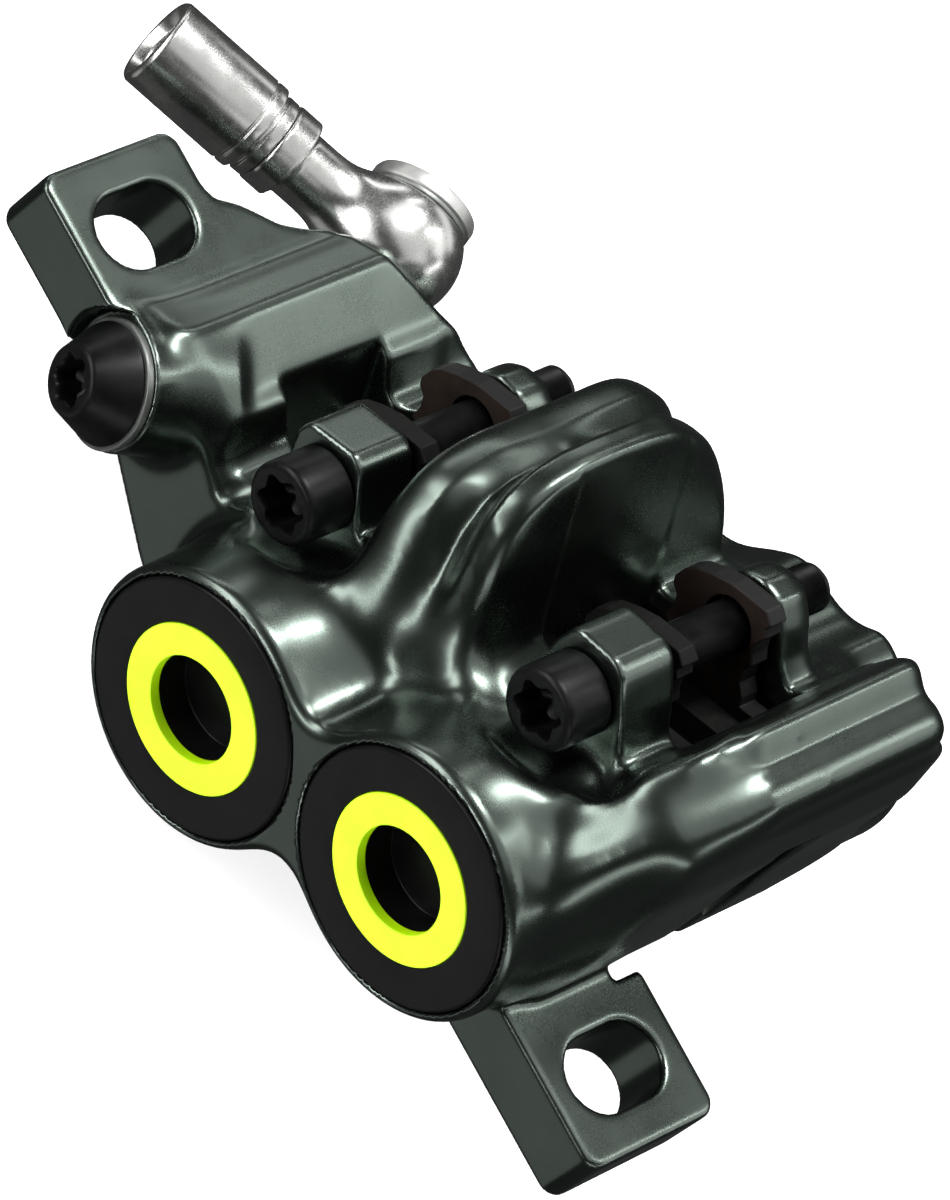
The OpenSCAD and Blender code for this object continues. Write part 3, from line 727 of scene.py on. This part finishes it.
def build_materials():
    M = {}
    M["body"] = surface("body_dark_green_metal", (0.105, 0.128, 0.112), (0.125, 0.150, 0.132), 0.28, metallic=1.0, scale=180, grain=5200, bump_d=0.0000014, bump_s=0.05, rough_var=0.02,
                        wear=((0.20, 0.23, 0.21), 0.9, 2.6))
    M["black"] = surface("black_anodised", (0.003, 0.003, 0.0034), (0.006, 0.006, 0.0064), 0.36, metallic=0.2, scale=300, grain=4200, bump_d=0.00001, spec=0.25)
    M["accent"] = surface("accent_neon", (0.56, 1.0, 0.0), (0.62, 1.0, 0.005), 0.42, metallic=0.0, scale=400, grain=5200, bump_d=0.000008, spec=0.35)
    M["black_steel"] = surface("black_steel", (0.003, 0.003, 0.0034), (0.007, 0.007, 0.0074), 0.38, metallic=0.2, scale=500, grain=5200, bump_d=0.000012, spec=0.25)
    M["steel"] = surface("satin_steel", (0.56, 0.56, 0.545), (0.64, 0.64, 0.62), 0.26, metallic=1.0, scale=420, grain=6000, bump_d=0.00001, bump_s=0.3)
    M["steel_matt"] = surface("matt_steel", (0.50, 0.50, 0.49), (0.62, 0.62, 0.60), 0.46, metallic=1.0, scale=700, grain=7000, bump_d=0.00002, bump_s=0.6)
    M["washer"] = surface("grey_washer", (0.20, 0.21, 0.20), (0.28, 0.29, 0.28), 0.4, metallic=0.9, scale=500, grain=6000)
    M["plate"] = plate_mat()
    # friction pad compound: partly its own dark colour, partly painted shade, pushed near black so the pads deep in the
    # chamber read dark
    M["friction"] = surface("friction_block_with_painted_shade", (0.006, 0.006, 0.006), (0.014, 0.013, 0.012), 0.9, scale=1500, grain=5200, bump_d=0.00009, bump_s=0.8, spec=0.2)
    M["plate_dark"] = surface("plate_black", (0.002, 0.0018, 0.0016), (0.004, 0.0034, 0.003), 0.6, scale=500, grain=4200, bump_d=0.00003, spec=0.25)
    M["seal"] = surface("seal_rubber", (0.008, 0.008, 0.008), (0.014, 0.014, 0.014), 0.6, scale=600, grain=5000)
    M["piston"] = surface("piston_phenolic", (0.02, 0.02, 0.022), (0.035, 0.035, 0.037), 0.45, scale=600, grain=4200)
    M["magnet"] = surface("magnet_nickel", (0.4, 0.4, 0.4), (0.5, 0.5, 0.48), 0.25, metallic=1.0, scale=600, grain=5200)
    return M


M = build_materials()

# ------------------------------------------------------------------ body
lo_b, hi_b = (-44.4, -4.6 - 10.0, -12.9), (44.4, 32.4, 34.6)
step = 0.34
field_piece("caliper_body_shell", body_field, lo_b, hi_b, step, M["body"], "caliper", ["caliper_body"], most=190000, soft=body_soft, spread=1.25)

# ------------------------------------------------------------------ caps, rings
Yv = np.array([0.0, 1.0, 0.0])
for side, t0 in (("rear", -PX), ("front", PX)):
    c = to_world((t0, 0, 0))[0]
    prof = rounded([(9.7, -19.4), (9.7, -22.4), (10.58, -22.45), (10.58, -24.6), (6.98, -24.6), (6.98, -23.8), (4.4, -23.8), (4.4, -20.9), (3.6, -20.9)], [0, 0.1, 0.05, 0.3, 0.12, 0.05, 0.05, 0.12, 0])
    turned("bore_cap_turned_" + side, c, Yv, prof, M["black"], "caliper", ["bore_cap_" + side], seg=128, crease=50)
    ring = rounded([(4.36, -23.75), (4.36, -24.68), (6.94, -24.68), (6.94, -23.75)], 0.1)
    ring = [(5.6, -23.75)] + ring + [(5.6, -23.75)]
    turned("accent_ring_turned_" + side, c, Yv, ring, M["accent"], "caliper", ["accent_ring_" + side], seg=128, close=(False, False), crease=50)

# ------------------------------------------------------------------ pad axle screws
for side, t0 in (("rear", -AX), ("front", AX)):
    c = to_world((t0, 0, AR))[0]
    lob = six_lobes(0.22, 1.0)
    head = [(0.0001, 14.1), (1.4, 14.1), (2.0, 13.5)]
    for k in range(24):      # thread of the tip, as shallow rings
        yy = 13.2 - k * 0.28
        head += [(2.0, yy), (1.86, yy - 0.14)]
    head += [(2.0, 6.4), (2.0, -12.3), (2.15, -12.45), (3.25, -12.45), (3.45, -12.6), (3.45, -16.4), (3.38, -16.72), (3.2, -16.95), (2.9, -17.05), (2.62, -17.05)]
    head += [(2.45, -17.0, lob), (2.36, -16.85, lob), (2.32, -16.4, lob), (2.3, -14.25, lob), (1.6, -13.9), (0.9, -13.75), (0.0001, -13.7)]
    turned("pad_axle_screw_turned_" + side, c, Yv, head, M["black_steel"], "axle_" + side, ["pad_axle_screw_" + side], seg=96, close=(False, False), crease=40)

# bleed screw and its washer
lob = six_lobes(0.22, 1.0)
bs = [(0.0001, 8.0), (1.2, 8.0), (2.0, 7.2)]
for k in range(20):
    yy = 7.0 - k * 0.28
    bs += [(2.0, yy), (1.86, yy - 0.14)]
bs += [(2.0, 1.2), (2.0, 0.32), (4.6, 0.32), (4.78, 0.26), (4.84, 0.1), (4.75, -0.15), (2.98, -2.95), (2.86, -3.15), (2.6, -3.28), (2.45, -3.3)]
bs += [(2.2, -3.28, lob), (2.08, -3.15, lob), (2.02, -2.8, lob), (2.0, -1.2, lob), (1.5, -0.9), (0.8, -0.75), (0.0001, -0.7)]
turned("bleed_screw_turned", BL, BV, bs, M["black_steel"], "bleeder", ["bleed_screw"], seg=96, close=(False, False), crease=40)
wr = rounded([(2.12, 0.31), (5.18, 0.31), (5.18, 0.94), (2.12, 0.94)], 0.15)
turned("bleed_washer_turned", BL, BV, [(2.12, 0.6)] + wr + [(2.12, 0.6)], M["washer"], "caliper", ["bleed_washer"], seg=96, close=(False, False))


# ------------------------------------------------------------------ hose fitting
def banjo_field(P):
    a, rho = along(P, BC, BD)
    d = np.linalg.norm(P - BC, axis=1) - 5.8
    tube = rbox(rho - 2.87, np.abs(a - 6.25) - 6.25, 0.15)
    d = smin(d, tube, 3.4)
    col = rbox(rho - 3.72, np.abs(a - 11.7) - 1.2, 0.3)
    d = smin(d, col, 0.7)
    an, rn = along(P, BC, BN)
    d = smax(d, np.abs(an) - 3.43, 0.5)
    d = smax(d, -(rn - 3.0), 0.4)
    return d


field_piece("banjo_ball", banjo_field, BC - 8 + np.minimum(BD * 14, 0), BC + 8 + np.maximum(BD * 14, 0), 0.26, M["steel"], "banjo", ["banjo_fitting"])
sl = rounded([(1.9, 12.95), (3.6, 12.95), (3.62, 13.9), (3.4, 14.0), (3.4, 14.25), (3.93, 14.4), (3.95, 15.2), (3.82, 15.3), (3.82, 15.5), (3.95, 15.62), (3.95, 24.75), (3.7, 25.08), (3.35, 25.08), (2.72, 24.2), (2.7, 15.2), (1.9, 15.2)],
             [0, 0.15, 0.05, 0.05, 0.05, 0.15, 0.04, 0.04, 0.04, 0.04, 0.12, 0.12, 0.1, 0.1, 0.05, 0])
turned("hose_sleeve_turned", BC, BD, sl + [(0.0001, 15.2)], M["steel"], "banjo", ["hose_sleeve"], seg=128, close=(False, False), crease=40)
bb = [(0.0001, -10.3), (2.45, -10.3), (2.95, -9.8), (2.95, 3.7), (3.0, 3.85), (4.55, 3.85), (4.7, 4.0), (4.7, 4.85), (4.6, 5.1), (4.35, 5.23), (2.9, 5.23)]
bb += [(2.55, 5.2, hexagon), (2.45, 5.1, hexagon), (2.42, 3.6, hexagon), (1.2, 3.4), (0.0001, 3.4)]
turned("banjo_bolt_turned", BC, BN, bb, M["steel_matt"], "caliper", ["banjo_bolt"], seg=96, close=(False, False), crease=40)
for k, nm in ((-1, "lower"), (1, "upper")):
    w = rounded([(3.06, -0.19), (4.62, -0.19), (4.62, 0.19), (3.06, 0.19)], 0.08)
    turned("banjo_washer_" + nm, BC + BN * k * 3.63, BN, [(3.06, 0)] + w + [(3.06, 0)], M["washer"], "caliper", ["banjo_washers"], seg=96, close=(False, False))

# ------------------------------------------------------------------ CAD nodes that stay
KEEP = {"cap_seal": "seal", "piston_seal": "seal", "piston_magnet": "magnet", "backing_plate": "plate", "friction_pad": "friction", "piston": "piston"}
for n, o in frame["nodes"].items():
    if o.hide_render:
        continue
    key = next((k for k in sorted(KEEP, key=len, reverse=True) if n.startswith(k)), None)
    o.data.materials.clear()
    o.data.materials.append(M["plate_dark" if n.startswith("backing_plate_outboard") else KEEP[key] if key else "black"])
    wd = o.modifiers.new("weld", "WELD")
    wd.merge_threshold = 0.000004
    bv = o.modifiers.new("edge", "BEVEL")
    bv.width = 0.00014
    bv.segments = 2
    bv.limit_method = "ANGLE"
    bv.angle_limit = math.radians(40)
    bv.harden_normals = False

# ------------------------------------------------------------------ floor, light, camera
def white_mat():
    m, nt, p = new_mat("pale_floor")
    co = coords(nt)
    nt.links.new(ramp(nt, noise(nt, co, 3, 2), [(0.3, (0.88, 0.88, 0.88)), (0.7, (0.92, 0.92, 0.92))]), p.inputs["Base Color"])
    p.inputs["Roughness"].default_value = 0.9
    p.inputs["Specular IOR Level"].default_value = 0.1
    return m


zf = -0.0125
me = bpy.data.meshes.new("floor")
me.from_pydata([(-3, -3, zf), (3, -3, zf), (3, 3, zf), (-3, 3, zf)], [], [(0, 1, 2, 3)])
floor = bpy.data.objects.new("floor", me)
bpy.context.scene.collection.objects.link(floor)
me.materials.append(white_mat())

world = bpy.data.worlds.new("studio")
bpy.context.scene.world = world
world.use_nodes = True
bg = world.node_tree.nodes["Background"]
bg.inputs[0].default_value = (0.95, 1.0, 0.97, 1)
bg.inputs[1].default_value = 0.05


def panel(name, direction, dist, w, h, radiance, glossy=True, roll=None, diffuse=True):
    """A soft box that looks at the object. Its brightness is given as radiance."""
    d = bpy.data.lights.new(name, "AREA")
    d.shape = "RECTANGLE"
    d.size, d.size_y = w, h
    d.energy = radiance * math.pi * w * h
    o = bpy.data.objects.new(name, d)
    bpy.context.scene.collection.objects.link(o)
    aim = Vector(direction).normalized()
    o.location = Vector((0.0, 0.01, 0.01)) + aim * dist
    z = aim
    x = Vector(roll or (1, 0, 0))
    x = (x - z * x.dot(z)).normalized()
    y = z.cross(x)
    o.rotation_mode = "QUATERNION"
    o.rotation_quaternion = Matrix((x, y, z)).transposed().to_quaternion()
    o.visible_glossy = glossy
    o.visible_diffuse = diffuse
    return o


fl = panel("floor_light", (0.0, -0.1, 1.0), 1.6, 2.6, 2.6, 3.4, glossy=False)
only = bpy.data.collections.new("floor_only")
only.objects.link(floor)
fl.light_linking.receiver_collection = only
fl.light_linking.blocker_collection = only
panel("fill_over", (0.1, -0.3, 1.0), 1.4, 1.6, 1.6, 0.25, glossy=False)
panel("base_over", (0.10, 0.0, 1.0), 1.2, 1.3, 1.3, 0.75, diffuse=False)
panel("top_strip", (-0.26, 0.20, 0.94), 1.0, 0.13, 0.56, 32, roll=(1, 0, 0))
panel("top_line", (0.19, 0.60, 0.78), 1.0, 0.05, 0.44, 16, roll=(1, 0, 0))
panel("back_soft", (0.48, 0.62, 0.63), 1.1, 0.48, 0.42, 1.7)
panel("front_under", (-0.10, -0.66, -0.74), 1.0, 0.7, 0.6, 0.4, diffuse=False)
panel("left_front", (-0.72, -0.58, 0.36), 1.0, 0.30, 0.55, 7, roll=(0, 0, 1))
panel("right_front", (0.85, -0.48, -0.05), 1.0, 0.16, 0.7, 3.5, roll=(0, 0, 1))
panel("left_line", (-0.52, 0.60, 0.59), 1.0, 0.06, 0.36, 6, roll=(0.7, 0, 0.7))
panel("front_low", (-0.35, -0.90, 0.16), 1.0, 0.9, 0.12, 10, roll=(1, 0, 0))
panel("right_side", (0.86, 0.30, 0.40), 1.0, 0.10, 0.8, 4, roll=(0, 0, 1))
panel("left_side", (-0.86, 0.35, 0.30), 1.0, 0.10, 0.8, 4, roll=(0, 0, 1))
steel_only = bpy.data.collections.new("fitting_only")
for n in ("banjo_ball", "hose_sleeve_turned", "banjo_bolt_turned", "banjo_washer_lower", "banjo_washer_upper"):
    steel_only.objects.link(bpy.data.objects[n])
for args in (("fitting_top", (-0.45, 0.10, 0.88), 1.0, 0.55, 0.9, 1.5), ("fitting_right", (0.70, -0.20, 0.68), 1.0, 0.35, 0.9, 1.1), ("fitting_low", (-0.30, -0.85, 0.40), 1.0, 0.7, 0.3, 1.2),
             ("fitting_back", (0.1, 0.93, 0.35), 1.0, 0.8, 0.3, 1.3), ("fitting_left", (-0.95, -0.2, 0.2), 1.0, 0.4, 0.5, 0.8)):
    panel(*args).light_linking.receiver_collection = steel_only
floor.visible_glossy = False
floor.visible_shadow = False

cam = bpy.data.cameras.new("camera")
co = bpy.data.objects.new("camera", cam)
bpy.context.scene.collection.objects.link(co)
rt, up, bk = Vector((0.4846, 0.6909, 0.5364)), Vector((-0.8677, 0.3022, 0.3947)), Vector((0.1106, -0.6567, 0.7460))
co.matrix_world = Matrix(((rt.x, up.x, bk.x, 0.078237), (rt.y, up.y, bk.y, -0.454442), (rt.z, up.z, bk.z, 0.534737), (0, 0, 0, 1)))
cam.sensor_fit = "AUTO"
cam.sensor_width = 36
cam.lens = 275.6
cam.clip_start, cam.clip_end = 0.01, 20
bpy.context.scene.camera = co
vs = bpy.context.scene.view_settings
vs.view_transform = "Standard"
